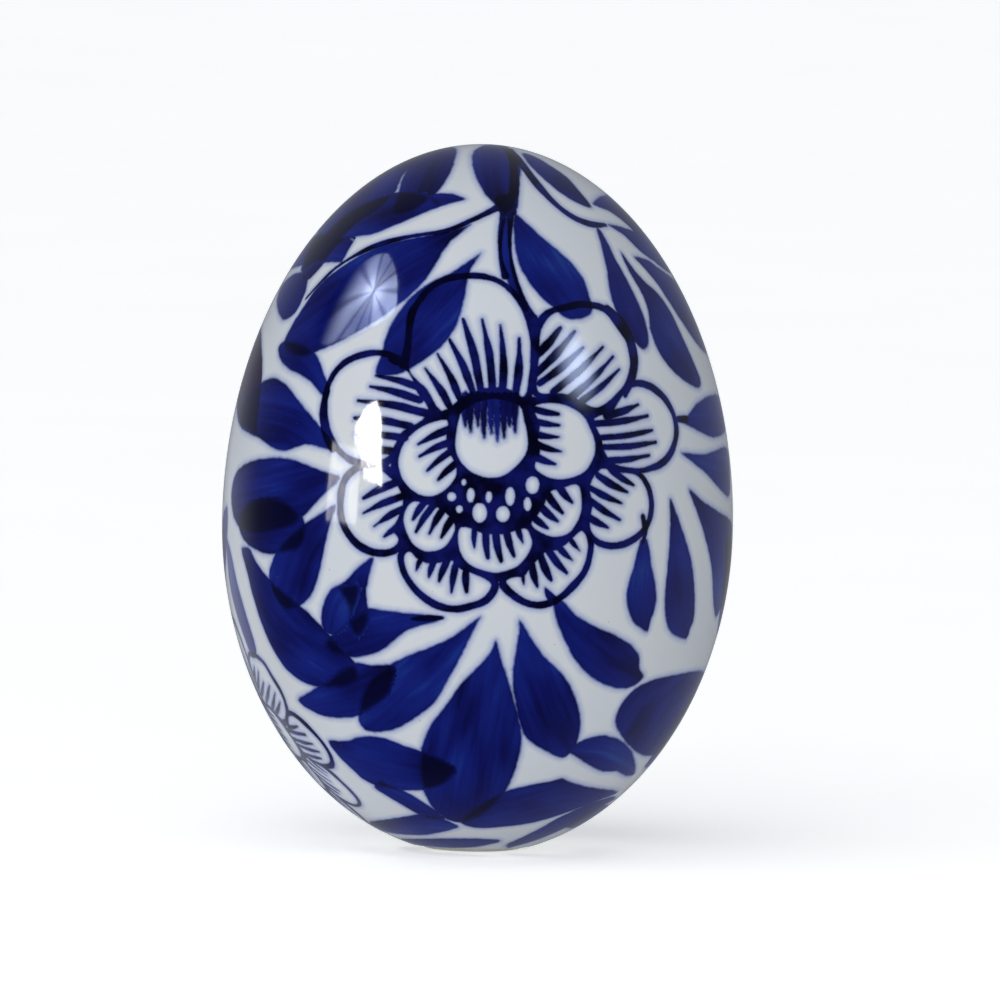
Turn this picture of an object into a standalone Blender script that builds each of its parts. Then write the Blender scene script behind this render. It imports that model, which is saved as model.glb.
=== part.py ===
"""Hand-painted porcelain egg: slip-cast hollow body, glaze skin, and the disc that closes its pour hole.

The egg stands on its narrow foot ring. The origin is the centre of that ring's resting plane,
+Z is the axis of the egg, and every length is in metres.
"""

import math

import bmesh
import bpy

# The outside of the egg is two half-ellipsoids that share one girth.
GIRTH_RADIUS = 0.0326
UPPER_RISE = 0.0485
LOWER_DROP = 0.0423

# Thicknesses, measured inwards from the outside of the glaze.
GLAZE = 0.0003
GAP = 0.0003
WALL = 0.0030

# The foot ring is ground flat, and the glaze stops a little way up from it.
FOOT_RADIUS = 0.0065
FOOT_ROUNDING = 0.0004
GLAZE_EDGE_HEIGHT = 0.0005

# The pour hole of the casting, the disc luted into it, and the vent through the disc.
HOLE_RADIUS = 0.0045
HOLE_ROUNDING = 0.0003
DISC_RADIUS = 0.0042
DISC_BOTTOM = 0.0012
DISC_THICKNESS = 0.0018
VENT_RADIUS = 0.0010
EDGE_ROUNDING = 0.0002

# How finely the round surfaces are divided.
SECTORS = 48
ROUND_STEPS = 3
UPPER_ROWS = 15
LOWER_ROWS = 13
CAVITY_ROWS = 11

GIRTH_HEIGHT = LOWER_DROP * math.sqrt(1 - (FOOT_RADIUS / GIRTH_RADIUS) ** 2)


def clear_scene():
    for obj in list(bpy.data.objects):
        bpy.data.objects.remove(obj, do_unlink=True)


def surface_point(inset, angle):
    """A point (radius, height) of the egg's outline moved inwards by inset; angle is 90 degrees at the top."""
    reach = UPPER_RISE if angle >= 0 else LOWER_DROP
    radius = (GIRTH_RADIUS - inset) * math.cos(angle)
    return radius, GIRTH_HEIGHT + (reach - inset) * math.sin(angle)


def angle_at_height(inset, height):
    """The angle of the lower outline at a height."""
    return -math.asin((GIRTH_HEIGHT - height) / (LOWER_DROP - inset))


def angle_at_radius(inset, radius):
    """The angle of the lower outline at a radius."""
    return -math.acos(radius / (GIRTH_RADIUS - inset))


def outline(inset, last_angle, upper_rows, lower_rows):
    """Points from the top of the egg, on its axis, down to last_angle on the lower half."""
    points = [(0.0, GIRTH_HEIGHT + UPPER_RISE - inset)]
    for row in range(1, upper_rows):
        points.append(surface_point(inset, math.radians(90) * (1 - row / upper_rows)))
    for row in range(lower_rows + 1):
        points.append(surface_point(inset, last_angle * row / lower_rows))
    return points


def rounding(centre, radius, start, end):
    """Points of an arc about centre, from start to end degrees; 0 degrees points away from the axis."""
    points = []
    for step in range(ROUND_STEPS + 1):
        turn = math.radians(start + (end - start) * step / ROUND_STEPS)
        points.append((centre[0] + radius * math.cos(turn), centre[1] + radius * math.sin(turn)))
    return points


def revolve(name, profile, closed):
    """The solid swept by a profile of (radius, height) points; a closed profile is a ring round the axis."""
    shape = bmesh.new()
    verts = [shape.verts.new((radius, 0.0, height)) for radius, height in profile]
    edges = [shape.edges.new(pair) for pair in zip(verts[:-1], verts[1:])]
    if closed:
        edges.append(shape.edges.new((verts[-1], verts[0])))
    bmesh.ops.spin(
        shape,
        geom=verts + edges,
        axis=(0.0, 0.0, 1.0),
        cent=(0.0, 0.0, 0.0),
        angle=math.radians(360),
        steps=SECTORS,
        use_merge=True,
        use_normal_flip=False,
    )
    bmesh.ops.remove_doubles(shape, verts=shape.verts[:], dist=1e-6)
    bmesh.ops.recalc_face_normals(shape, faces=shape.faces[:])
    mesh = bpy.data.meshes.new(name)
    shape.to_mesh(mesh)
    shape.free()
    solid = bpy.data.objects.new(name, mesh)
    bpy.context.scene.collection.objects.link(solid)
    return solid


def shade_smooth(solid, sharp_degrees):
    """Smooth shading, with edges over sharp_degrees left crisp."""
    mesh = solid.data
    for face in mesh.polygons:
        face.use_smooth = True
    mesh.set_sharp_from_angle(angle=math.radians(sharp_degrees))


def paint(solid, name, colour, roughness):
    material = bpy.data.materials.new(name)
    material.use_nodes = True
    shader = material.node_tree.nodes["Principled BSDF"]
    shader.inputs["Base Color"].default_value = (*colour, 1.0)
    shader.inputs["Roughness"].default_value = roughness
    shader.inputs["Metallic"].default_value = 0.0
    material.diffuse_color = (*colour, 1.0)
    solid.data.materials.append(material)


clear_scene()


# Porcelain body: cast hollow in a plaster mould, poured and drained through the hole in its base.
# The profile runs down the outside, round the foot ring, up the pour hole and over the cavity wall.
body_inset = GLAZE + GAP
cavity_inset = body_inset + WALL
collar_angle = angle_at_radius(body_inset, FOOT_RADIUS + FOOT_ROUNDING)
outside = outline(body_inset, collar_angle, UPPER_ROWS, LOWER_ROWS)
ring = rounding((FOOT_RADIUS - FOOT_ROUNDING, FOOT_ROUNDING), FOOT_ROUNDING, 0, -90)
hole_mouth = rounding((HOLE_RADIUS + HOLE_ROUNDING, HOLE_ROUNDING), HOLE_ROUNDING, -90, -180)
cavity_angle = angle_at_radius(cavity_inset, HOLE_RADIUS)
cavity = outline(cavity_inset, cavity_angle, CAVITY_ROWS, CAVITY_ROWS)
shell = revolve("porcelain_shell", outside + ring + hole_mouth + cavity[::-1], closed=False)
shade_smooth(shell, 40)
paint(shell, "bisque_porcelain", (0.80, 0.79, 0.76), 0.75)


# Glaze: one glassy skin over the whole outside, wiped off around the foot ring.
edge_angle = angle_at_height(0.0, GLAZE_EDGE_HEIGHT)
skin_outside = outline(0.0, edge_angle, UPPER_ROWS, LOWER_ROWS)
skin_inside = outline(GLAZE, edge_angle, UPPER_ROWS, LOWER_ROWS)
glaze = revolve("glaze_coat", skin_outside + skin_inside[::-1], closed=False)
shade_smooth(glaze, 40)
paint(glaze, "blue_white_glaze", (0.72, 0.77, 0.86), 0.06)


# Base disc: a small porcelain disc set in the pour hole, recessed so that only the foot ring touches.
# Air leaves the closed egg in the firing through the vent in the middle.
disc_top = DISC_BOTTOM + DISC_THICKNESS
rim = DISC_RADIUS - EDGE_ROUNDING
disc_profile = (
    [(VENT_RADIUS, disc_top)]
    + rounding((rim, disc_top - EDGE_ROUNDING), EDGE_ROUNDING, 90, 0)
    + rounding((rim, DISC_BOTTOM + EDGE_ROUNDING), EDGE_ROUNDING, 0, -90)
    + [(VENT_RADIUS, DISC_BOTTOM)]
)
disc = revolve("base_disc", disc_profile, closed=True)
shade_smooth(disc, 40)
paint(disc, "base_porcelain", (0.78, 0.77, 0.74), 0.75)


# Base glaze: the glaze that pools inside the foot ring, under the disc.
pool_top = DISC_BOTTOM - GAP
pool_bottom = pool_top - GLAZE
pool_rim = DISC_RADIUS - GLAZE / 2
pool_profile = (
    [(VENT_RADIUS, pool_top)]
    + rounding((pool_rim, (pool_top + pool_bottom) / 2), GLAZE / 2, 90, -90)
    + [(VENT_RADIUS, pool_bottom)]
)
pool = revolve("base_glaze", pool_profile, closed=True)
shade_smooth(pool, 60)
paint(pool, "base_clear_glaze", (0.80, 0.83, 0.86), 0.08)
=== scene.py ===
"""Hand-painted porcelain egg: cobalt flowers and leaves under a clear glaze, on a pale studio floor."""

import math

import bmesh
import bpy
import numpy as np
from mathutils import Matrix, Vector


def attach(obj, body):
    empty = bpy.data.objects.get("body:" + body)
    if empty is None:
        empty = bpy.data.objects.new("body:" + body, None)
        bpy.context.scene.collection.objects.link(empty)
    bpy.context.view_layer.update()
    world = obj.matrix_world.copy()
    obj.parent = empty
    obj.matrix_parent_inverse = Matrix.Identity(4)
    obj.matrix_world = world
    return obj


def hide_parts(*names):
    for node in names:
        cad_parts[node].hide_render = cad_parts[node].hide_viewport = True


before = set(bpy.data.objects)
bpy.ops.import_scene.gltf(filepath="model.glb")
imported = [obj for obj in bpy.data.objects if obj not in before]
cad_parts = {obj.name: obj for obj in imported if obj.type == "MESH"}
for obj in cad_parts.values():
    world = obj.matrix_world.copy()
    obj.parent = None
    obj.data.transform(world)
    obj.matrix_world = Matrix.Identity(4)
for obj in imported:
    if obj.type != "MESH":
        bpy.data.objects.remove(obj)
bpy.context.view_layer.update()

# ---------------------------------------------------------------------------------------------
# The egg's skin: the outside of the glaze, as round as the plaster mould that the egg was cast in.
# Two half-ellipsoids share one girth. All of the painting is laid out on this surface in
# millimetres, with the middle of the girth as the zero point.
# ---------------------------------------------------------------------------------------------
MM = 0.001
GIRTH = 32.6
UPPER = 48.5
LOWER = 42.3
FOOT_RADIUS = 6.5
GIRTH_HEIGHT = LOWER * math.sqrt(1 - (FOOT_RADIUS / GIRTH) ** 2)
SKIN_FINENESS = 6


def add(tree, kind, links=(), **settings):
    """Adds a node, sets its properties, and feeds its inputs: a socket is linked, a value is written."""
    node = tree.nodes.new(kind)
    for name, value in settings.items():
        setattr(node, name, value)
    for socket, value in dict(links).items():
        if isinstance(value, bpy.types.NodeSocket):
            tree.links.new(value, node.inputs[socket])
        else:
            node.inputs[socket].default_value = value
    return node


skin_tree = bpy.data.node_groups.new("egg_skin", "GeometryNodeTree")
skin_inputs = {}
for name, kind, value in (
    ("Girth radius", "NodeSocketFloat", GIRTH),
    ("Upper rise", "NodeSocketFloat", UPPER),
    ("Lower drop", "NodeSocketFloat", LOWER),
    ("Fineness", "NodeSocketInt", SKIN_FINENESS),
    ("Glaze", "NodeSocketMaterial", None),
):
    socket = skin_tree.interface.new_socket(name, in_out="INPUT", socket_type=kind)
    skin_inputs[name] = (socket.identifier, value)
skin_tree.interface.new_socket("Geometry", in_out="OUTPUT", socket_type="NodeSocketGeometry")
given = add(skin_tree, "NodeGroupInput").outputs
ball = add(skin_tree, "GeometryNodeMeshIcoSphere", {"Radius": 1.0, "Subdivisions": given["Fineness"]})
place = add(skin_tree, "GeometryNodeInputPosition")
parts = add(skin_tree, "ShaderNodeSeparateXYZ", {0: place.outputs[0]})
below = add(skin_tree, "FunctionNodeCompare", {0: parts.outputs["Z"], 1: 0.0}, operation="LESS_THAN")
reach = add(
    skin_tree,
    "GeometryNodeSwitch",
    {0: below.outputs[0], 1: given["Upper rise"], 2: given["Lower drop"]},
    input_type="FLOAT",
)
scaled = add(
    skin_tree,
    "ShaderNodeCombineXYZ",
    {"X": given["Girth radius"], "Y": given["Girth radius"], "Z": reach.outputs[0]},
)
stretched = add(
    skin_tree, "ShaderNodeVectorMath", {0: place.outputs[0], 1: scaled.outputs[0]}, operation="MULTIPLY"
)
shaped = add(
    skin_tree, "GeometryNodeSetPosition", {"Geometry": ball.outputs["Mesh"], "Position": stretched.outputs[0]}
)
realised = add(skin_tree, "GeometryNodeRealizeInstances", {0: shaped.outputs[0]})
glazed = add(
    skin_tree, "GeometryNodeSetMaterial", {"Geometry": realised.outputs[0], "Material": given["Glaze"]}
)
add(skin_tree, "NodeGroupOutput", {0: glazed.outputs[0]})


def sight(azimuth, elevation=0.0):
    """The right, up and towards directions of a painter who looks at the egg; azimuth 0 is its front."""
    a, e = math.radians(azimuth), math.radians(elevation)
    right = np.array([math.cos(a), math.sin(a), 0.0])
    towards = np.array([math.sin(a) * math.cos(e), -math.cos(a) * math.cos(e), math.sin(e)])
    return right, np.cross(towards, right), towards


def on_skin(points):
    """Points moved straight in or out from the zero point onto the skin."""
    rise = np.where(points[:, 2] >= 0, UPPER, LOWER)
    flat = (points[:, 0] ** 2 + points[:, 1] ** 2) / GIRTH**2
    return points / np.sqrt(flat + (points[:, 2] / rise) ** 2)[:, None]


def behind(flat, seen):
    """The points of the skin that a painter sees at flat places (right, up)."""
    right, up, towards = seen
    base = flat[:, :1] * right + flat[:, 1:2] * up
    found = {}
    for rise in (UPPER, LOWER):
        squash = np.array([1 / GIRTH, 1 / GIRTH, 1 / rise])
        a = ((towards * squash) ** 2).sum()
        b = ((base * squash) * (towards * squash)).sum(axis=1)
        c = ((base * squash) ** 2).sum(axis=1) - 1
        found[rise] = base + ((np.sqrt(np.maximum(b * b - a * c, 0)) - b) / a)[:, None] * towards
    upper = found[UPPER][:, 2:] >= 0
    return on_skin(np.where(upper, found[UPPER], found[LOWER]))


# ---------------------------------------------------------------------------------------------
# The painting: cobalt oxide brushed on the raw porcelain, peonies among long leaves. A leaf is
# one loaded brush stroke; petals are left white inside dark outlines, with fine veins. Every
# stroke is kept as a signed distance on the skin, so that its edge stays smooth at any size.
# ---------------------------------------------------------------------------------------------
FRONT = sight(0, 5)
# Beyond this many mm from its edge, paint is not looked for.
FAR = 2.5
OUTLINE_WIDTH = 0.98
# How far a stroke's ends round out, as a share of its half width.
ROUND_END = 0.7
washes = []
petals = []
hearts = []
lines = []


def smooth(points, closed=False, steps=5):
    """Points along a curve that passes through all of the given ones; extra columns are carried along."""
    points = np.array(points, float)
    if closed:
        padded = np.vstack([points[-1:], points, points[:2]])
    else:
        padded = np.vstack([2 * points[0] - points[1], points, 2 * points[-1] - points[-2]])
    t = np.linspace(0, 1, steps, endpoint=False)[:, None]
    runs = []
    for a, b, c, d in zip(padded, padded[1:], padded[2:], padded[3:]):
        runs.append(
            0.5 * (2 * b + (c - a) * t + (2 * a - 5 * b + 4 * c - d) * t**2 + (3 * b - a - 3 * c + d) * t**3)
        )
    if not closed:
        runs.append(points[-1:])
    return np.vstack(runs)


def extent(path):
    """The middle of a path on the skin, and how far the path reaches from there."""
    middle = path.mean(axis=0)
    return {"middle": middle, "size": np.linalg.norm(path - middle, axis=1).max()}


def shape(flat, seen, **more):
    """A closed patch of paint, or a petal left white, with the painter's view that it is drawn in."""
    loop = behind(flat, seen)
    return {"flat": flat, "loop": loop, "seen": seen, **extent(loop), **more}


def leaf(spine, edge, load=0.0, seen=FRONT):
    """One brush stroke inside an edge. The bristles ran along the spine; load is how full they were."""
    washes.append(shape(smooth(edge, closed=True, steps=3), seen, track=smooth(spine), load=load))


def stroke(marks, seen=FRONT, load=0.0):
    """One brush stroke given by (right, up, half width) along it, from its root to its tip."""
    track = smooth(marks)
    heading = np.gradient(track[:, :2], axis=0)
    heading /= np.linalg.norm(heading, axis=1)[:, None]
    across = heading[:, ::-1] * (-1, 1) * track[:, 2:]
    root = track[:1, :2] - heading[:1] * track[0, 2] * ROUND_END
    tip = track[-1:, :2] + heading[-1:] * track[-1, 2] * ROUND_END
    flat = np.vstack([root, track[:, :2] + across, tip, (track[:, :2] - across)[::-1]])
    washes.append(shape(flat, seen, track=track, load=load))


def petal(points, seen, group, rim=OUTLINE_WIDTH):
    """A white patch with a dark outline of the rim's width, put into a group of like patches."""
    group.append(shape(smooth(points, closed=True, steps=3), seen, rim=rim))


def line(marks, seen=FRONT):
    """A thin line from the tip of the brush: marks are (right, up, half width)."""
    track = smooth(marks, steps=3)
    path = behind(track[:, :2], seen)
    lines.append({"path": path, "width": track[:, 2], **extent(path)})


# One flower, in millimetres from the girth's middle. Each petal has its white outline, then its
# veins: where each starts at the petal's root, and where it ends.
PETALS = (
    (
        [(-8.9, 19.6), (-8.6, 22.5), (-8.4, 25), (-7.7, 27.4), (-6.2, 29.3), (-4, 30.5), (-0.6, 30.9),
         (2.2, 30.2),
         (4.4, 28.2), (5.7, 25.6), (6.4, 22), (6.2, 18.5), (5.5, 16.2), (3.4, 17.2), (0.4, 17.1),
         (-2.2, 16), (-4.7, 14.2), (-6.5, 16.8), (-7.8, 18)],
        [(-3.7, 14.7, -6.9, 19.5), (-2.5, 15.8, -5.4, 21.4), (-0.8, 16.4, -3.9, 23.2), (0.1, 17, -2.2, 25.8),
         (1.6, 17.2, 0.2, 25.8), (2.9, 17.2, 2.5, 25.1), (4.6, 16.9, 4.9, 23.5)],
    ),
    (
        [(7.3, 17.4), (7.4, 21), (7.6, 24.6), (8.8, 26.4), (10.6, 27), (13, 27.5), (15.6, 27), (17.2, 25),
         (18.7, 22.8), (19, 20.4), (18.2, 18), (16.7, 16.1), (14.8, 15), (13.2, 15.5), (11.5, 16.4),
         (9.4, 16.7), (8, 16.6)],
        [(7.3, 21.6, 10.1, 24.9), (7.4, 19.4, 11.9, 24.5), (7.9, 18.1, 13, 22.5), (9.6, 17.1, 15.5, 22.6),
         (11.7, 16.3, 16.8, 21.4), (13.3, 16, 17.6, 19.8)],
    ),
    (
        [(14.6, 13.5), (16.6, 14.3), (17.4, 15.4), (18.2, 16.6), (19.8, 17.6), (21.5, 17.3), (23.1, 16.1),
         (24.3, 14.2), (24.7, 12.2), (24.3, 10.2), (23.3, 8.7), (21.6, 7.8), (19.6, 7.5), (17, 8),
         (16, 9.4), (15.6, 11), (15, 12.2)],
        [(16.4, 14, 20.1, 15.4), (14.7, 12.9, 21.3, 14), (16, 11.2, 21.9, 12.2), (16.2, 10, 22.4, 10.7),
         (16.6, 8.3, 21.6, 9)],
    ),
    (
        [(15.6, 7.1), (17.2, 6.7), (19.2, 6.6), (20.4, 6), (21.3, 4.5), (21.6, 2.4), (21.1, 0.4),
         (19.8, -1.1), (17.6, -2), (15.6, -1.7), (14.4, -0.5), (14.3, 1.2), (14.6, 3), (14.2, 5)],
        [(17.1, 6.9, 19.7, 5.2), (15.4, 6.2, 18.9, 4.3), (14.5, 4.6, 18.2, 2.9), (14.4, 3.1, 18, 0.8),
         (14.2, 1, 16.5, -0.2)],
    ),
    (
        [(3.8, -7.4), (4.7, -6.7), (5.9, -6.7), (6.7, -5.7), (7.5, -4.6), (8.6, -3.5), (10, -3.2),
         (11.2, -2.5), (12.2, -1.5), (13.2, -0.7), (13.9, -2), (13.8, -3.8), (13.2, -5.6), (12, -7.2),
         (10.4, -8.7), (8.4, -9.6), (6.2, -9.3)],
        [(5.9, -6.6, 6, -7.5), (7, -5.3, 7.7, -7.8), (8.2, -4.2, 9.4, -6.9), (9.2, -3.4, 11.4, -6),
         (10.5, -2.9, 12.1, -4.4), (11.9, -1.9, 13, -3.2)],
    ),
    (
        [(-9.1, -4.3), (-8.4, -3.7), (-7.6, -4.5), (-6.2, -5.1), (-4.6, -5), (-3.1, -4.8), (-1.9, -5.9),
         (-0.2, -6.4), (1, -6.9), (1.9, -7.7), (1, -9.2), (-0.7, -9.9), (-2.8, -10.3), (-5.2, -9.7),
         (-7.2, -8.2), (-8.6, -6.3)],
        [(-7, -4.6, -7.6, -6), (-5.4, -5, -6, -6.8), (-3.8, -5, -4.7, -7.3), (-2.5, -5, -3.1, -8.7),
         (-1.3, -6.1, -1.2, -8.6)],
    ),
    (
        [(-16.9, 3), (-16.3, 5.3), (-14.5, 6.7), (-12.5, 6.7), (-11, 5.6), (-9.7, 3.9), (-9.5, 2.2),
         (-10.2, 0.4), (-10.7, -1), (-9.9, -2), (-10.3, -2.9), (-11.7, -3.4), (-13.6, -3.1),
         (-15.4, -1.9), (-16.7, 0.3)],
        [(-10.8, 4.8, -14.4, 3), (-9.7, 3.2, -14.4, 1.1), (-9.8, 1.5, -13, -0.5), (-9.9, -0.5, -11.7, -1.8)],
    ),
    (
        [(-19.1, 14.4), (-18.9, 16.8), (-17.7, 19), (-15.6, 20.4), (-12.6, 20.9), (-10, 19.8),
         (-8.6, 18.2), (-7.8, 16.3), (-6.4, 14.5), (-7.3, 12.9), (-9.7, 11.5), (-10.5, 9.9),
         (-11.3, 8.4), (-12.6, 7.8), (-14.4, 7.8), (-16.2, 8.4), (-17.9, 10), (-18.8, 12)],
        [(-8, 17.2, -13.1, 18.5), (-7.9, 15.6, -13.8, 17.1), (-7.1, 13.9, -15.3, 15.3),
         (-9, 12.2, -15.7, 13.1), (-9.7, 10.7, -15.4, 11), (-11.3, 9, -14.7, 9.2)],
    ),
    (
        [(7.2, 15), (9.4, 15.4), (11.5, 15), (13.2, 13.8), (14, 12.3), (14.6, 10.8), (14.6, 8.9),
         (13.6, 7.1), (11.9, 6.1), (9.8, 5.8), (7.9, 6.5), (7.1, 7.5), (7.8, 9.2), (7.5, 11), (7.8, 12.6),
         (7.3, 13.8)],
        [(7.3, 14.5, 10, 14), (7.4, 13, 10.1, 12.6), (7.4, 11.4, 10.1, 11.1), (7.8, 10, 10.4, 9.3),
         (7.3, 8.6, 9.7, 7.7)],
    ),
    (
        [(-4, 13), (-6.5, 12.4), (-8.8, 10.8), (-10, 8.5), (-9.9, 6.4), (-8.7, 4.5), (-7, 3.5), (-5, 3.6),
         (-3.4, 4.9), (-2.7, 6.4), (-3.2, 8), (-4, 9.3), (-4.1, 11)],
        [(-4, 11.7, -7.6, 9.9), (-3.9, 10.1, -7.4, 8.4), (-3.8, 8.8, -6.4, 6.6), (-3, 7.4, -5, 5.5)],
    ),
    (
        [(-9.2, 0.4), (-8.8, 2), (-7.9, 2.7), (-6.6, 2.3), (-5.2, 2), (-4, 1.3), (-2.9, -0.1), (-3.2, -1.6),
         (-4.2, -3), (-5.7, -3.6), (-7.4, -3.2), (-8.6, -1.8)],
        [(-6.8, 2.4, -8.1, 0.4), (-5.7, 2, -7.7, -1.1), (-4.4, 1.6, -6, -1.3), (-3.2, 0.5, -4.5, -1.8)],
    ),
    (
        [(-2.2, -0.9), (-1.4, -0.5), (0.2, -1.1), (2, -1.3), (3.6, -1.2), (5.9, -0.5), (6.6, -1.2),
         (6.9, -2.5), (6, -4.3), (4.6, -5.5), (2.7, -6.1), (0.8, -5.8), (-1, -4.9), (-2.1, -3.2)],
        [(-0.3, -0.9, -0.3, -3), (1.1, -1.1, 1.4, -4.2), (2.4, -1.3, 3.1, -4.6), (3.8, -1.2, 4.7, -4),
         (5.2, -0.6, 5.8, -2.3)],
    ),
    (
        [(6.8, 0.1), (7.5, 1.1), (8.4, 2.5), (8.9, 4.1), (10.6, 4.7), (12.4, 5.2), (13, 4), (13.1, 2),
         (12.6, 0.4), (11.6, -0.9), (9.9, -1.4), (8.1, -1)],
        [(10.4, 4.6, 11.9, 2.9), (9, 3.6, 10.7, 1.6), (8.3, 2, 10.1, 0.5), (7.2, 0.9, 8.9, -0.4)],
    ),
)
# The white bowl in the middle, the fringe that hangs into it, and the seeds (place, half width,
# half height) on the dark heart.
BOWL = [(-1.8, 14.4), (-2.7, 12.2), (-2.9, 10), (-2.4, 8.2), (-1.2, 6.8), (0.4, 6), (2, 5.9), (3.6, 6.4),
        (5.2, 7.8), (6.2, 9.5), (6.1, 11.5), (5.5, 13.4), (4.8, 15), (1.6, 15.7)]
FRINGE = ((-1.7, 11.9), (-1.0, 11.2), (-0.1, 11.9), (0.7, 10.5), (1.6, 11.0), (2.4, 10.1), (3.2, 10.5),
          (3.9, 12.0), (4.6, 11.2))
SEEDS = ((-1.8, 5.2, 0.32, 0.42), (-3.3, 3.4, 0.6, 0.6), (-0.9, 3.6, 0.45, 0.85), (1.4, 3.4, 0.38, 0.72),
         (4.1, 3.5, 0.55, 1.15), (6.9, 5, 0.9, 1.15), (6.3, 2.6, 0.48, 0.88), (-2.3, 1.8, 0.4, 0.45),
         (0.3, 1.4, 0.88, 1.2), (3.2, 1.3, 0.85, 1.0))
HEART = [(-7.5, 17), (-4, 14.6), (0, 17), (5.8, 16.4), (14, 14.6), (16.2, 9.4), (15.6, 7.2), (14.5, 4.4),
         (14, -1), (9, -3),
         (2.6, -7.4), (-3, -4.4), (-9.4, -3.2), (-9.8, 2), (-10.6, 7), (-9, 12)]
FLOWER_MIDDLE = np.array([1.8, 10.5])
# A vein starts under the petal's outline, bows a little, and thins towards its tip.
VEIN_START = 0.4
VEIN_BOW = 0.03
VEIN_TIP = 0.45
# The fringe: where its strokes start, and their half widths from there down.
FRINGE_TOP = 16.4
FRINGE_WIDTHS = np.array([0.6, 0.52, 0.24])
FRINGE_LOAD = 0.3
SEED_CORNERS = 10


def flower(seen=FRONT, centre=FLOWER_MIDDLE, size=1.0, turn=0.0, mirrored=False):
    """Paints the flower about a centre; away from the front it may be smaller, turned or mirrored."""
    c, s = math.cos(math.radians(turn)), math.sin(math.radians(turn))
    spin = size * np.array([[c, s], [-s, c]])
    flip = (-1, 1) if mirrored else (1, 1)

    def move(points):
        return ((np.array(points, float) - FLOWER_MIDDLE) * flip) @ spin + centre

    rim = OUTLINE_WIDTH * math.sqrt(size)
    for outline, veins in PETALS:
        petal(move(outline), seen, petals, rim)
        for x0, y0, x1, y1 in veins:
            length = math.hypot(x1 - x0, y1 - y0)
            x0, y0 = x0 - VEIN_START * (x1 - x0) / length, y0 - VEIN_START * (y1 - y0) / length
            bow = (x0 + x1) / 2 + VEIN_BOW * (y1 - y0), (y0 + y1) / 2 - VEIN_BOW * (x1 - x0)
            width = size * min(0.5, 0.2 + 0.12 * length)
            track = move([(x0, y0), bow, (x1, y1)])
            line(np.column_stack([track, (width, width, width * VEIN_TIP)]), seen)
    petal(move(BOWL), seen, petals, rim)
    petal(move(HEART), seen, hearts)
    for x, y in FRINGE:
        marks = move([(x, FRINGE_TOP), (x - 0.1, (y + FRINGE_TOP) / 2), (x, y + 0.3)])
        stroke(np.column_stack([marks, size * FRINGE_WIDTHS]), seen, FRINGE_LOAD)
    for x, y, wide, tall in SEEDS:
        around = np.linspace(0, 2 * math.pi, SEED_CORNERS, endpoint=False)
        seed = np.column_stack([x + wide * np.cos(around), y + tall * np.sin(around)])
        petal(move(seed), seen, petals, rim)


# How a fan's leaf swells: the share of the way along it, and the share of its width there.
FAN_LEAF = ((0, 0.12), (0.3, 0.5), (0.62, 1.0), (0.88, 0.72), (1, 0.2))


def fan(seen, centre, strokes):
    """Leaves that spread from one place, each (bearing, start, end, half width, bend); 0 degrees is up."""
    for bearing, start, end, width, bend in strokes:
        marks = []
        for share, thick in FAN_LEAF:
            angle = math.radians(bearing + bend * share)
            reach = start + (end - start) * share
            place = centre[0] + reach * math.sin(angle), centre[1] + reach * math.cos(angle)
            marks.append((*place, width * thick))
        stroke(marks, seen)


flower()
# Leaves over the crown, left of the stem and right of it.
leaf([(2.8, 39.4), (1.6, 44), (1, 48)],
     [(2.9, 39.3), (1.9, 40.1), (0.4, 41.6), (-0.6, 43.2), (-1.3, 44.9), (-1.5, 46.4), (-1.1, 47.5),
      (0.5, 48.3),
      (2.6, 48.2), (4, 47), (4.8, 45.2), (4.6, 43.4), (4.3, 41.6), (3.9, 40.1)], 0.3)
leaf([(-9.5, 39), (-7.5, 43.5), (-5, 47.8)],
     [(-3.6, 47.8), (-3.5, 46.4), (-4.2, 44.3), (-5.5, 42.2), (-7, 40.6), (-9, 39.3), (-11, 38.8),
      (-11.6, 39.6),
      (-10.8, 41.6), (-10.3, 43.6), (-9.4, 45.4), (-8, 46.9), (-6, 47.9)], 0.2)
leaf([(-5.5, 40.8), (-13, 38.8), (-18.5, 36), (-22.2, 31.4)],
     [(-5, 40.4), (-7, 39.4), (-10.5, 37.8), (-14, 36.4), (-16, 36.1), (-18.2, 35), (-20.3, 32.3),
      (-22.2, 30.4),
      (-22.9, 31.6), (-22.3, 33.5), (-20.5, 36), (-17.5, 39), (-14, 41), (-10.5, 42), (-7.5, 41.9)], 0.1)
leaf([(-7.5, 47), (-14, 42.4), (-19.5, 36.8), (-22.8, 32)],
     [(-6.5, 47.6), (-9.5, 46.4), (-13, 44.4), (-16.5, 41.9), (-19.5, 38.5), (-21.5, 35.9), (-22.6, 33.2),
      (-22.9, 31.6), (-21, 32.8), (-18.8, 35), (-16, 37.6), (-13, 39.7), (-11.2, 41.6), (-10.6, 43.2),
      (-9.5, 45)])
leaf([(-22.8, 31.4), (-24, 28.6), (-25, 25.6)],
     [(-22.1, 31), (-22.2, 29.3), (-22.8, 27.7), (-23.5, 26.4), (-24.4, 25.6), (-25.2, 25.5), (-25.8, 26.6),
      (-26, 28), (-25.5, 29.8), (-24.4, 31), (-23.2, 31.6)])
leaf([(-6.6, 41), (-2.1, 41.1)], [(-6.6, 41.6), (-4, 41.8), (-2.1, 41.1), (-3.6, 40.6), (-6, 40.1)], -0.4)
leaf([(5, 46.6), (9, 43.9), (13.9, 40.5)],
     [(4.9, 47.2), (6.6, 46.8), (8.8, 45.5), (10.8, 44.1), (12.4, 42.3), (13.9, 40.4), (12.4, 40.7),
      (10.2, 41.9),
      (8, 43.6), (6, 45.5)])
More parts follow.
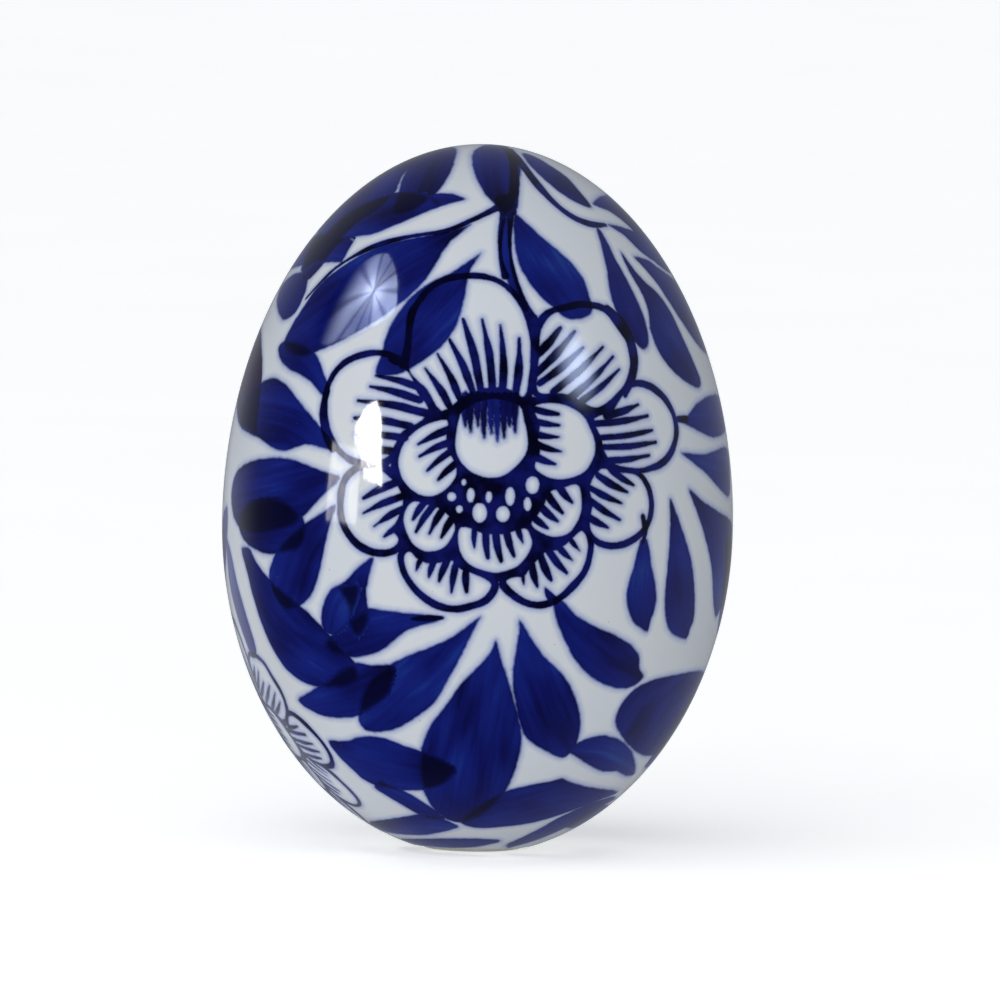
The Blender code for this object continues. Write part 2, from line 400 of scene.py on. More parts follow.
leaf([(14, 41), (17.5, 40.8), (21, 37)],
     [(13.9, 40.9), (15, 41.9), (16.6, 42.1), (18.4, 40.8), (20.4, 38.6), (21.6, 37), (20, 36.9),
      (18.2, 38.5),
      (16.4, 39.8), (14.9, 40.4)], -0.3)
leaf([(15.9, 38.2), (20.4, 36), (24.2, 32.6)],
     [(15.8, 38.3), (18, 37.9), (20.6, 37), (22.6, 35.4), (24.4, 33), (23.9, 32.3), (22, 33.6), (20, 35),
      (18, 36.9)], -0.3)
# Stems, and the leaves between them and the flower.
leaf([(-1.5, 37.6), (-10, 32.5), (-17.5, 27.5), (-24.5, 22.5)],
     [(-1.2, 38), (-4, 37), (-8, 36.2), (-12, 35.3), (-15, 34), (-18, 32.1), (-20.5, 30), (-22.2, 27.6),
      (-23.6, 25.4), (-24.7, 23.2), (-24.9, 21.9), (-23.6, 20.7), (-22, 20.7), (-20.4, 21.5), (-18, 22.6),
      (-15.3, 24.1), (-12.6, 25.8), (-9.6, 28.1), (-7.4, 30.2), (-6, 32.3), (-4.4, 35), (-2.8, 36.6)], 0.1)
leaf([(-19.4, 16), (-21.5, 19.4), (-25.2, 22)],
     [(-19.2, 15.8), (-20, 15.9), (-21, 17.2), (-22.5, 18.3), (-24.3, 19.2), (-25.4, 20.5), (-25.6, 22),
      (-24.6, 22.9), (-22.9, 22.8), (-21.4, 22), (-20.4, 20.6), (-19.7, 18.8), (-18.9, 17)])
leaf([(-0.2, 34), (-4.8, 27.5), (-12.6, 19.2)],
     [(0, 34.3), (-2, 33), (-4, 31.6), (-6.2, 30.6), (-8.6, 28.8), (-10.4, 26.6), (-11.8, 24), (-12.5, 21.2),
      (-13.2, 18.6), (-11, 18.5), (-9, 19.2), (-6.7, 20.7), (-4.6, 22.5), (-3, 25), (-2.1, 28), (-1.7, 30.5),
      (-1.2, 32.3)])
leaf([(4.2, 39), (8.5, 32.5), (13, 26.6)],
     [(4, 39.4), (5.6, 38.2), (8, 36.1), (10.8, 33.8), (12.9, 31.3), (13.8, 28.8), (14.2, 27.2), (12.9, 26.1),
      (10.8, 26.1), (9.6, 27), (7.4, 28.9), (5.5, 31.3), (4.4, 33.7), (4, 36.4)])
stroke([(3.1, 38.5, 0.7), (3.0, 34, 0.8), (4.1, 30.5, 0.7), (5.8, 27, 0.4)])
leaf([(14.5, 37.6), (17.6, 30), (20.8, 22.8)],
     [(14.4, 37.9), (15, 35.8), (15.8, 32.6), (16.3, 29.4), (17.3, 26.8), (19, 24), (20.4, 22.4),
      (21.3, 22.9),
      (21.1, 25.2), (20.2, 27.8), (18.8, 30.6), (17, 33.8), (15.4, 36.9)])
leaf([(17.7, 34.4), (22.6, 27), (28, 17.8)],
     [(17.6, 34.8), (18.6, 32.4), (20.3, 29.6), (21.2, 27.2), (21.5, 24.8), (22.7, 21.9), (24.8, 19.4),
      (27.4, 17.7), (28.1, 18.4), (27.2, 20.8), (25.8, 23.8), (24.2, 27.1), (22.6, 29.4), (20.6, 31.2),
      (19, 33)])
leaf([(19.5, 34), (25, 29.2), (28.9, 22.2)],
     [(19.3, 34.2), (21, 33.9), (22.6, 32.8), (24.6, 31.4), (26, 29.5), (27.2, 26.8), (28.4, 23.8), (29, 22),
      (27.6, 23.2), (26, 25.4), (24.1, 28.2), (22.4, 30.7), (20.6, 32.8)], -0.3)
line([(2.6, 40.4, 0.9), (1.2, 39.7, 0.5), (-1.5, 38.3, 0.45), (-4.5, 37, 0.42), (-8, 36.4, 0.4),
      (-12, 35.5, 0.42),
      (-15.5, 34, 0.4), (-18.5, 32.1, 0.35), (-20.6, 30, 0.25), (-22.2, 28.2, 0.15)])
line([(2.8, 40.9, 1.3), (3.2, 39.7, 1.2)])
line([(2.7, 39.6, 0.5), (2.3, 36.4, 0.35), (2.4, 33.6, 0.35), (3.0, 31.3, 0.6)])
line([(3.6, 39.4, 0.5), (3.5, 36, 0.3), (3.8, 33, 0.3), (4.7, 30, 0.32), (5.8, 27.6, 0.4), (6.8, 25.8, 0.6)])
line([(3.7, 40.3, 0.8), (4, 43.4, 0.6), (3.6, 46.6, 0.5), (2.6, 48.1, 0.4)])
line([(3.4, 47.8, 0.3), (4.6, 46.1, 0.65), (6.7, 43.4, 0.6), (8.5, 41.4, 0.55), (10.2, 39.9, 0.55),
      (12, 38.8, 0.55),
      (13.9, 38.2, 0.55), (15.6, 38.2, 0.3)])
# Leaves to the right of the flower.
leaf([(25, 13.7), (28, 14.2), (31.2, 14)],
     [(25, 13.6), (26.4, 14.2), (27.4, 15.6), (29, 16.7), (30.5, 16.8), (31.2, 14.6), (31.3, 12.2),
      (29.8, 11.4),
      (28.2, 12), (26.4, 12.9)], -0.3)
leaf([(25.7, 9.4), (28.5, 8.2), (31.9, 7)],
     [(25.6, 9.5), (28.4, 9.3), (30.2, 9.9), (31.6, 10.2), (32, 7.5), (32, 4), (30.8, 4.8), (28.8, 6.9),
      (27, 8.3)],
     -0.3)
leaf([(26.8, 4.7), (30, -1), (30.8, -11)],
     [(26.7, 4.9), (28.5, 3.4), (30.4, 2.2), (32.3, 0.8), (32.4, -2), (32.2, -6), (31.2, -10), (30.5, -11.4),
      (30.1, -9), (29.8, -5), (28.8, -1), (27.6, 2.4)], -0.3)
stroke([(24.4, 3.5, 0.15), (25.1, 0, 0.75), (25.7, -4.5, 1.55), (25.8, -9, 1.95), (25.9, -12.3, 1.7),
        (26.5, -13.9, 0.6)])
stroke([(21.1, -1.6, 0.5), (21, -5, 1.2), (20.9, -8.5, 1.95), (21, -11.3, 1.5), (21.6, -13.2, 0.3)])
line([(20.9, 1.3, 0.45), (21.2, -0.4, 0.5), (21, -2, 0.3)])
line([(25.2, 13.7, 0.5), (26.3, 13.7, 0.5)])
line([(-7.4, 28.3, 0.4), (-8.7, 26.9, 0.42), (-9.1, 24.5, 0.45), (-9.2, 22, 0.48), (-9.8, 19.8, 0.5)])
line([(-11.4, 20.5, 0.3), (-10.3, 20.3, 0.6), (-9.3, 20.2, 0.4)])
line([(6.9, 26.2, 0.35), (6.8, 24, 0.5), (6.8, 20.5, 0.5)])
line([(16.0, 27.5, 0.45), (17.8, 25.8, 0.65), (19.0, 23.4, 0.75), (19.5, 20.8, 0.65), (19.2, 18.2, 0.5),
      (18.4, 16.6, 0.4)])
# The fan of leaves below the flower.
line([(8.7, -8, 0.15), (9.2, -8.8, 0.5), (9.9, -9.5, 0.6)])
leaf([(10, -9.8), (15, -15.5), (21, -19.6)],
     [(9.6, -9.3), (10.8, -9.3), (12.4, -11), (14.6, -12.4), (17.4, -13.6), (19.4, -14.7), (20.7, -16.2),
      (20.9, -18), (21.4, -19.1), (19.8, -20.4), (17.6, -20.5), (15.2, -19.5), (13, -17.6), (11.4, -14.9),
      (10.2, -12.2)])
leaf([(5.6, -12.2), (8.6, -20.5), (12, -29)],
     [(5.5, -11.9), (5.4, -13.6), (5, -16.5), (4.7, -19), (5, -22), (5.7, -25), (6.6, -27), (8.6, -28.4),
      (11.2, -29.5), (12.4, -28.6), (13.3, -27), (13.5, -24.6), (13.1, -22.6), (12, -20), (10.6, -18.2),
      (8.8, -16.6), (7.2, -14.4)])
leaf([(2.6, -14.8), (0.6, -26), (-1.2, -37.8)],
     [(2.6, -14.6), (1.8, -16.3), (0, -18.3), (-1.8, -20.2), (-3.5, -22.8), (-5.2, -25), (-6.3, -27.2),
      (-6.9, -30),
      (-6.7, -32.8), (-5.6, -35.4), (-3.8, -37.3), (-1.6, -38), (0.6, -37.4), (2.8, -35.8), (4.4, -33.4),
      (5.5, -30.6), (6.1, -27.5), (5.8, -24.8), (5, -22), (4.3, -19.6), (3.3, -16.8)], 0.1)
leaf([(0.4, -11.8), (-6, -19.6), (-13.6, -26)],
     [(0.6, -11.6), (0, -13), (-1.6, -16.5), (-3.2, -19.6), (-5, -22.7), (-7, -24.4), (-9.5, -26),
      (-12, -26.6),
      (-14, -26.2), (-14.7, -24.6), (-14.4, -22), (-13.3, -19.8), (-11, -18), (-8, -16.5), (-5, -15.3),
      (-2.4, -13.9)])
leaf([(-4.4, -12), (-12, -14), (-18.6, -16)],
     [(-4.2, -11.9), (-6, -11.5), (-9, -11.3), (-12, -11), (-13.6, -10.8), (-15.5, -12), (-18, -14),
      (-19.2, -15.6),
      (-18, -16.8), (-16, -17.2), (-14, -17), (-12, -16.3), (-10.5, -15.2), (-9, -13.9), (-7, -13),
      (-5, -12.5)])
leaf([(-13.1, -4.6), (-14.8, -9.6), (-15, -14.4)],
     [(-13, -4.3), (-13.3, -6.2), (-13.8, -8.6), (-13.6, -10.6), (-13.3, -12.2), (-14, -14.2), (-15.2, -14.6),
      (-16, -13), (-16.2, -11), (-17, -9.3), (-17.8, -8.2), (-16.6, -7.5), (-15, -5.7)])
leaf([(-15.4, -7.9), (-17.4, -10.6), (-18, -14)],
     [(-14.6, -7.8), (-16.4, -7.8), (-18, -8.2), (-19.1, -9.8), (-19.6, -12), (-19.2, -13.8), (-18, -14.4),
      (-16.6, -13.8), (-15.6, -12), (-14.8, -10)], -0.35)
line([(-4.2, -11.9, 0.25), (-6.2, -12, 0.45), (-8, -12.1, 0.2)])
# Leaves at the left.
leaf([(-28.1, 24.4), (-29.3, 17.5), (-29.2, 11)],
     [(-28, 25), (-27.8, 22.5), (-27.6, 19.5), (-27.7, 16), (-28, 12.5), (-28.2, 10.7), (-29.3, 11),
      (-30.4, 12),
      (-30.9, 14.5), (-30.3, 18), (-29.4, 21.5), (-28.4, 24.6)], 1.0)
leaf([(-18.2, 9.2), (-23.5, 12.8), (-30.4, 14)],
     [(-18, 8.9), (-18.3, 9.9), (-19.8, 11.8), (-21.5, 13.7), (-23, 15.5), (-24.4, 17.2), (-26, 18.1),
      (-27.6, 17.6),
      (-29, 16.5), (-30.6, 14.6), (-30.6, 12.4), (-29.4, 11.3), (-27.5, 10.1), (-25.8, 9), (-24.3, 8.8),
      (-22, 9.6),
      (-20, 9.3)])
leaf([(-17.6, 5.4), (-24, 3.4), (-31, 1.8)],
     [(-17.3, 5.5), (-19, 6.2), (-21.3, 7), (-23.5, 7.8), (-26, 8), (-28.5, 7.6), (-30.4, 6.5), (-31.2, 4.6),
      (-31.3, 2), (-30.6, -0.5), (-28.5, -2), (-26, -1.6), (-23.5, -0.8), (-21.5, 1), (-19.5, 3.3)], 0.2)
leaf([(-22, -1), (-26, -0.4), (-30, -1)],
     [(-22, 0.5), (-24.5, 2.6), (-27, 3), (-29.4, 2), (-30.4, 0), (-29.6, -2.6), (-28, -3.8), (-26.5, -4.3),
      (-24.5, -4.2), (-22.5, -3.6), (-21.6, -2)], 0.35)
leaf([(-18, 2), (-21.8, -4), (-24, -11)],
     [(-17.9, 2.2), (-18.3, 0.4), (-18.9, -1.8), (-19.5, -5), (-20.1, -7.6), (-20.9, -9.6), (-22.2, -10.8),
      (-24, -11.4), (-25.6, -9.8), (-26.3, -7.2), (-25.8, -4.8), (-24.4, -2.2), (-22.4, -0.6),
      (-20, 0.9)], 0.1)
leaf([(-29.4, -3.8), (-25.4, -13), (-15, -20)],
     [(-29.9, -3.6), (-29.3, -6), (-28.5, -9), (-27.3, -12.8), (-25.7, -16.3), (-23.8, -19), (-21.4, -20.6),
      (-18.6, -21.2), (-16, -20.9), (-14.6, -19.8), (-15, -18), (-16.6, -16), (-18.8, -13.9), (-21, -11.7),
      (-23.6, -9.5), (-26.2, -7.4), (-28, -5.2), (-28.8, -3.6)], 0.1)
leaf([(-31.8, -2.6), (-30.3, -10), (-28, -17.4)],
     [(-31.9, -2.4), (-31.2, -4.5), (-30.4, -8), (-29.2, -12), (-27.8, -16.5), (-28.3, -17.6), (-29.4, -15),
      (-30.6, -11.5), (-31.5, -7.5)], -0.4)
leaf([(-22.3, -22.8), (-16, -21.4), (-10.2, -19)],
     [(-22.4, -22.8), (-20.8, -21.5), (-19, -20.2), (-17, -18.6), (-15.2, -17.7), (-13, -18), (-11, -17.9),
      (-10, -18.5), (-10.1, -20.2), (-11, -22.2), (-12.8, -23.6), (-15, -24.7), (-17.6, -24.9), (-20, -24.4)])
line([(-19.3, 16.4, 0.6), (-19.9, 13.5, 0.45), (-19.4, 10.8, 0.45), (-18.4, 9.2, 0.6)])
# Leaves round the lower end.
leaf([(-18.3, -28), (-10, -30.6), (-2.4, -31.4)],
     [(-18.5, -27.8), (-16.5, -27.8), (-14, -27.1), (-11.5, -27.2), (-9, -28.1), (-6, -29), (-3.6, -30),
      (-2, -31),
      (-3, -32.6), (-5, -33.7), (-8, -34), (-11, -33.8), (-13.6, -32.9), (-15.2, -31.6), (-17, -29.9)])
stroke([(-12.2, -33.2, 0.7), (-8.5, -35.1, 0.9), (-5.7, -36.7, 0.8), (-3.6, -37.5, 0.3)])
stroke([(-13, -38.6, 0.5), (-9.5, -38.6, 1.1), (-6, -38.3, 1.4), (-3.5, -38.4, 0.8), (-1.9, -38.5, 0.2)])
stroke([(-9, -40.6, 0.3), (-4, -40.7, 0.6), (0, -40.6, 0.6), (3.4, -40.3, 0.2)])
leaf([(18, -34), (10, -34.6), (-1, -38)],
     [(18.5, -33.8), (15, -33.2), (12.4, -32.5), (11.2, -32), (10, -32.4), (7, -33), (4, -33.8), (1, -35.3),
      (-1.6, -37.6), (0, -38.6), (3.5, -38.5), (7.5, -37.9), (11.5, -36.7), (15.8, -35)])
stroke([(4.5, -41, 0.3), (8, -39.6, 0.6), (11.5, -37.8, 0.8), (15, -35.9, 0.6), (18, -34.6, 0.25)])
leaf([(12.2, -28.6), (16.4, -29), (20.4, -31)],
     [(12, -28.6), (13.6, -27.2), (16, -26.5), (18, -26.8), (19.6, -27.9), (20.5, -29.6), (20.5, -31.5),
      (19.4, -31.8), (18.2, -31.2), (16.4, -31.2), (14.6, -30.4), (13, -29.4)])
leaf([(28.4, -18.8), (23.4, -23.4), (20, -28.4)],
     [(20.3, -20.5), (22.8, -19.3), (26, -18.6), (28.6, -18.2), (29.2, -19), (27.9, -21.6), (26.3, -24.5),
      (24.6, -27.2), (23.2, -29), (21.4, -29.1), (19.6, -27.8), (18.3, -26), (17.8, -24.6),
      (18.6, -22.5)], 0.1)

# The sides and the back, in the same hand: three more flowers with their own leaves.
RIGHT, LEFT, BACK_LEFT, BACK_RIGHT = sight(90), sight(-88), sight(-140), sight(160)
leaf([(-0.5, 42), (-13, 34)],
     [(2, 48), (-2, 46.6), (-6, 44.6), (-10, 41), (-13.5, 36), (-14.6, 32.4), (-11, 33.4), (-6, 35.4),
      (-2, 37), (1.6, 37.4), (2, 42)],
     seen=LEFT)
leaf([(0.5, 38.8), (11, 35)],
     [(-1.2, 42.2), (-1.0, 40), (-0.8, 36.2), (4, 35.2), (8, 34.2), (11.6, 33.6), (9.5, 37), (6, 40.2),
      (3, 41.8)], seen=RIGHT)
leaf([(0.5, 33.6), (7, 30)], [(-1.2, 35.9), (-1.3, 33.6), (-1.4, 31.2), (4, 29.6), (7.6, 28.6), (6, 32.4),
                              (3, 35)], seen=RIGHT)
leaf([(-7, -5), (-2, -13)], [(-8, -1), (-5, -0.8), (-2.4, -2.4), (-1, -7), (-1.6, -13.2), (-4.6, -12.4),
                             (-7, -8)], seen=RIGHT)
leaf([(-6, -25.2), (7, -25.6)],
     [(-6.5, -20.6), (-2, -20.2), (2, -21.2), (5, -23), (7.6, -26), (3, -28.6), (-2, -30), (-7.2, -30),
      (-7.6, -25)],
     seen=RIGHT)
stroke([(-8.6, -36.4, 1.5), (-5, -36.8, 1.5), (-1, -37.2, 0.9), (1, -37.3, 0.3)], RIGHT)
flower(LEFT, (1.2, -25.4), 0.62, -13)
flower(BACK_RIGHT, (0.0, 4.0), 0.95, -12, mirrored=True)
flower(BACK_LEFT, (0.0, 25.0), 0.62, 40)
fan(BACK_RIGHT, (0.0, -6.0),
    [(150, 13, 32, 4.0, 8), (176, 13, 34, 5.0, 4), (204, 13, 31, 4.4, -6), (232, 14, 30, 3.6, -10)])
fan(BACK_RIGHT, (0.0, 6.0), [(-70, 17, 32, 3.4, 14), (-36, 19, 34, 3.6, 10), (-4, 19, 36, 3.4, -6),
                             (34, 19, 34, 3.4, -10)])
fan(RIGHT, (11.0, 29.0), [(150, 2, 15, 2.6, 6), (190, 3, 20, 3.0, 4), (220, 3, 15, 2.4, -12),
                          (70, 4, 17, 2.6, 20)])
fan(RIGHT, (6.0, -6.0), [(168, 3, 22, 3.2, 6), (192, 3, 21, 3.0, -8), (10, 4, 18, 2.8, 8),
                         (-16, 4, 14, 2.2, -6), (130, 4, 16, 2.4, 16)])
AROUND_FLOWER = (-98, -66, -34, 58, 92, 124, 158, 198, 232)
fan(BACK_LEFT, (0.0, 25.0), [(bearing, 14, 24 + bearing % 4, 2.5, 8) for bearing in AROUND_FLOWER])
fan(BACK_LEFT, (-1.0, -12.0),
    [(92, 3, 15, 2.8, 12), (130, 3, 21, 3.4, 8), (164, 3, 24, 3.8, 6), (198, 3, 24, 3.6, -6),
     (230, 3, 20, 3.2, -8),
     (262, 3, 14, 2.6, -10), (24, 3, 13, 2.5, 8), (-22, 3, 12, 2.4, -8)])
fan(LEFT, (-1.0, -11.5), [(-78, 1, 14, 2.4, -8), (-42, 1, 18, 3.0, -8), (-10, 1, 20, 3.2, 4),
                          (20, 1, 15, 2.4, 6)])
fan(LEFT, (-8.0, 12.0), [(-30, 3, 20, 3.4, -8), (10, 3, 22, 3.6, 8), (-80, 3, 17, 3.0, -10),
                         (200, 4, 18, 3.2, 8), (240, 4, 18, 3.0, 6)])


def from_segments(points, start, end):
    """Distance from each point to each segment, and how far along it the nearest place is."""
    run = end - start
    length = np.maximum((run**2).sum(axis=1), 1e-12)
    share = np.clip(((points[:, None] - start) * run).sum(axis=2) / length, 0, 1)
    gap = points[:, None] - start - share[..., None] * run
    return np.sqrt((gap**2).sum(axis=2)), share


def near(points, form):
    """The points that a form may reach: those close to it, as indices."""
    return np.flatnonzero(((points - form["middle"]) ** 2).sum(axis=1) < (form["size"] + FAR) ** 2)


def inside(flat, loop):
    """Whether flat points are inside a closed loop, by the crossings to their right."""
    x, y = flat[:, :1], flat[:, 1:]
    x0, y0 = loop.T
    x1, y1 = np.roll(loop, -1, axis=0).T
    with np.errstate(divide="ignore", invalid="ignore"):
        crossing = ((y0 > y) != (y1 > y)) & (x < (x1 - x0) * (y - y0) / (y1 - y0) + x0)
    return crossing.sum(axis=1) % 2 == 1


def to_form(points, form):
    """Signed distance to a closed form, negative inside it."""
    distance = from_segments(points, form["loop"], np.roll(form["loop"], -1, axis=0))[0].min(axis=1)
    right, up, towards = form["seen"]
    flat = np.column_stack([points @ right, points @ up])
    facing = (points / (GIRTH**2, GIRTH**2, UPPER**2)) @ towards > 0
    return np.where(inside(flat, form["flat"]) & facing, -distance, distance)


def nearest_wash(points):
    """The lowest and the second lowest signed distance to a wash, and the distance to any wash's edge."""
    first, second, edge = np.full((3, len(points)), FAR)
    for form in washes:
        chosen = near(points, form)
        distance = to_form(points[chosen], form)
        second[chosen] = np.minimum(second[chosen], np.maximum(first[chosen], distance))
        first[chosen] = np.minimum(first[chosen], distance)
        edge[chosen] = np.minimum(edge[chosen], np.abs(distance))
    return first, second, edge


def nearest_petal(points):
    """The lowest signed distance to the white of a petal, and to the dark flower round all of them."""
    white, flower_edge = np.full((2, len(points)), FAR)
    for form in petals:
        chosen = near(points, form)
        distance = to_form(points[chosen], form)
        white[chosen] = np.minimum(white[chosen], distance)
        flower_edge[chosen] = np.minimum(flower_edge[chosen], distance - form["rim"])
    for form in hearts:
        chosen = near(points, form)
        flower_edge[chosen] = np.minimum(flower_edge[chosen], to_form(points[chosen], form))
    return white, flower_edge


def nearest_line(points):
    """The lowest distance to the edge of a line, negative inside it."""
    nearest = np.full(len(points), FAR)
    for form in lines:
        chosen = near(points, form)
        distance, share = from_segments(points[chosen], form["path"][:-1], form["path"][1:])
        width = form["width"][:-1] + np.diff(form["width"]) * share
        nearest[chosen] = np.minimum(nearest[chosen], (distance - width).min(axis=1))
    return nearest


def paint_at(points):
    """Distances in mm: to dark paint, to washes, to where washes overlap, and to a wash's edge."""
    white, body = nearest_petal(points)
    dark = np.minimum(np.maximum(body, -white), nearest_line(points))
    return dark, *nearest_wash(points)


# The skin's mesh is made finer only where paint ends, down to the width of a fine vein. A straight
# end of paint needs few faces, and a tip or a tight bend needs many.
FINEST = 0.30
FINEST_GUARD = 0.85
COARSEST = 1.6
REFINEMENTS = 8
# How far, in mm, a face may stray from the ends of dark paint, of washes and of overlaps, how much
# further for each mm away from them, and how far away the paint is so even that it needs no cut.
STRAYS = np.array([[0.04], [0.07], [0.20]])
STRAY_GROWTH = 0.20
VISIBLE = 1.0
# An edge longer than FINEST_GUARD has to be shorter than its distance to paint times this.
GUARD_GROWTH = 1.2
MOST_POINTS = 10**7


def finer(points, faces, paint, settled):
    """Halves each edge along which the paint bends. A cut face's longest edge is always cut.

    paint is what paint_at found at the points, and settled names the edges that need no cut.
    """
    ends = np.sort(np.stack([faces, np.roll(faces, -1, axis=1)], axis=2).reshape(-1, 2), axis=1)
    names, once, edges = np.unique(
        ends[:, 0] * MOST_POINTS + ends[:, 1], return_index=True, return_inverse=True
    )
    ends, edges = ends[once], edges.reshape(-1, 3)
    length = np.linalg.norm(points[ends[:, 0]] - points[ends[:, 1]], axis=1)
    unsure = np.flatnonzero((length > FINEST) & ~np.isin(names, settled))
    first, last = paint[:, ends[unsure, 0]], paint[:, ends[unsure, 1]]
    middle = np.array(paint_at(on_skin(points[ends[unsure]].mean(axis=1))))
    close = np.abs([first, middle, last]).min(axis=0)
    stray = np.abs(middle - (first + last) / 2)[:3]
    bent = ((stray > STRAYS + STRAY_GROWTH * close[:3]) & (close[:3] < VISIBLE)).any(axis=0)
    reach = np.maximum(FINEST_GUARD, GUARD_GROWTH * np.minimum(close[0], close[3]))
    cut = np.zeros(len(ends), bool)
    cut[unsure] = bent | (length[unsure] > np.minimum(reach, COARSEST))
    settled = names[~cut]
    longest = length[edges].argmax(axis=1)
    while True:
        touched = cut[edges].any(axis=1)
        owed = edges[touched, longest[touched]]
        if cut[owed].all():
            break
        cut[owed] = True
    added = on_skin((points[ends[cut, 0]] + points[ends[cut, 1]]) / 2)
    number = np.full(len(ends), -1)
    number[cut] = len(points) + np.arange(cut.sum())
    order = (np.arange(3) + longest[:, None]) % 3
    a, b, c = np.take_along_axis(faces, order, axis=1).T
    ab, bc, ca = np.take_along_axis(number[edges], order, axis=1).T
    whole = ab < 0
    plain_bc, plain_ca = ~whole & (bc < 0), ~whole & (ca < 0)
    split_bc, split_ca = ~whole & (bc >= 0), ~whole & (ca >= 0)
    rows = [
        np.stack([a, b, c], 1)[whole],
        np.stack([ab, b, c], 1)[plain_bc],
        np.stack([ab, b, bc], 1)[split_bc],
        np.stack([ab, bc, c], 1)[split_bc],
        np.stack([a, ab, c], 1)[plain_ca],
        np.stack([a, ab, ca], 1)[split_ca],
        np.stack([ca, ab, c], 1)[split_ca],
    ]
    paint = np.hstack([paint, paint_at(added)])
    return np.vstack([points, added]), np.vstack(rows), paint, settled


# ---------------------------------------------------------------------------------------------
# The glaze: clear feldspar glaze fired over the cobalt, glassy and slightly cool, about 0.3 mm
# thick. It covers everything but the foot. What shows through it is the painting.
# ---------------------------------------------------------------------------------------------
GLAZE_THICKNESS = 0.3
GLAZE_EDGE_HEIGHT = 0.5
INNER_FINENESS = 5
CRISP_EDGE = math.radians(35)
# How far past its edge, in mm, a stroke's bristle marks go on, and how far apart two strokes' marks are.
BRISTLE_MARGIN = 0.4
STROKE_SHIFT = 7.3


def linear(hex_code):
    """A linear colour from an sRGB hex value."""
    channels = []
    for at in (1, 3, 5):
        value = int(hex_code[at : at + 2], 16) / 255
        channels.append(value / 12.92 if value <= 0.04045 else ((value + 0.055) / 1.055) ** 2.4)
    return (*channels, 1.0)


def new_material(name):
    material = bpy.data.materials.new(name)
    material.use_nodes = True
    material.node_tree.nodes.clear()
    return material, material.node_tree


# White porcelain body under clear glaze, cobalt strokes with soft edges, streaks along the brush,
# darker and lighter pools of wet colour, and almost black where two strokes cross.
painted_glaze, tree = new_material("painted_glazed_porcelain")
place = add(tree, "ShaderNodeTexCoord").outputs["Object"]
attribute = {}
for name in ("dark_mm", "wash_mm", "double_mm", "brush", "load"):
    attribute[name] = add(tree, "ShaderNodeAttribute", attribute_name=name, attribute_type="GEOMETRY").outputs


def math_node(operation, first, second=0.0, third=0.0):
    return add(tree, "ShaderNodeMath", {0: first, 1: second, 2: third}, operation=operation).outputs[0]


def noise(vector, per_mm, detail=2.0, roughness=0.5):
    """Noise with so many grains in a millimetre."""
    return add(
        tree, "ShaderNodeTexNoise",
        {"Vector": vector, "Scale": per_mm / MM, "Detail": detail, "Roughness": roughness},
    ).outputs["Fac"]


def fade(value, start, end, low=0.0, high=1.0):
    """Eases from low to high as the value goes from start to end."""
    return add(
        tree, "ShaderNodeMapRange",
        {"Value": value, "From Min": start, "From Max": end, "To Min": low, "To Max": high},
        interpolation_type="SMOOTHERSTEP",
    ).outputs["Result"]


def blend_colours(share, first, second):
    return add(tree, "ShaderNodeMix", {0: share, 6: first, 7: second}, data_type="RGBA").outputs[2]


# The hand's small tremor along every edge.
tremor = math_node("MULTIPLY_ADD", noise(place, 0.9, 3.0), 0.30, -0.15)
fine_tremor = math_node("MULTIPLY_ADD", noise(place, 3.0, 2.0), 0.10, -0.05)
pressure = math_node("MULTIPLY_ADD", noise(place, 0.22, 2.0), 0.50, -0.25)
dark_edge = math_node("ADD", math_node("ADD", attribute["dark_mm"]["Fac"], fine_tremor), pressure)
wash_edge = math_node("ADD", attribute["wash_mm"]["Fac"], tremor)
double_edge = math_node("ADD", attribute["double_mm"]["Fac"], tremor)
dark_mask = fade(dark_edge, 0.13, -0.16)
wash_mask = fade(wash_edge, 0.18, -0.26)
double_mask = fade(double_edge, 0.30, -0.80)

# The streaks of the bristles run along each stroke and shift from stroke to stroke.
brush_parts = add(tree, "ShaderNodeSeparateXYZ", {0: attribute["brush"]["Vector"]}).outputs


def along_brush(along_per_mm, across_per_mm, detail, roughness):
    """Noise that follows each stroke, with so many grains in a millimetre along and across it."""
    along = math_node("MULTIPLY", brush_parts["X"], along_per_mm)
    across = math_node("MULTIPLY", brush_parts["Y"], across_per_mm)
    spot = add(tree, "ShaderNodeCombineXYZ", {0: along, 1: across, 2: brush_parts["Z"]}).outputs[0]
    return add(
        tree, "ShaderNodeTexNoise", {"Vector": spot, "Scale": 1.0, "Detail": detail, "Roughness": roughness}
    ).outputs["Fac"]


streaks = along_brush(0.10, 1.1, 3.0, 0.55)
pools = along_brush(0.11, 0.22, 1.5, 0.5)
grain = noise(place, 4.0, 2.0)
strength = math_node("MULTIPLY_ADD", streaks, 0.50, math_node("MULTIPLY_ADD", pools, 0.90, -0.20))
strength = math_node("MULTIPLY_ADD", attribute["load"]["Fac"], -0.28, strength)
strength = math_node("MULTIPLY_ADD", grain, 0.10, math_node("SUBTRACT", strength, 0.05))
rim = fade(wash_edge, -0.75, -0.10)
strength = math_node("MULTIPLY_ADD", rim, -0.03, strength)
cobalt = add(tree, "ShaderNodeValToRGB", {0: strength})
stops = cobalt.color_ramp
stops.elements[0].position, stops.elements[0].color = 0.20, linear("#090B3A")
stops.elements[1].position, stops.elements[1].color = 0.85, linear("#20418F")
for at, shade in ((0.40, "#0F155F"), (0.62, "#15237A")):
    stops.elements.new(at).color = linear(shade)

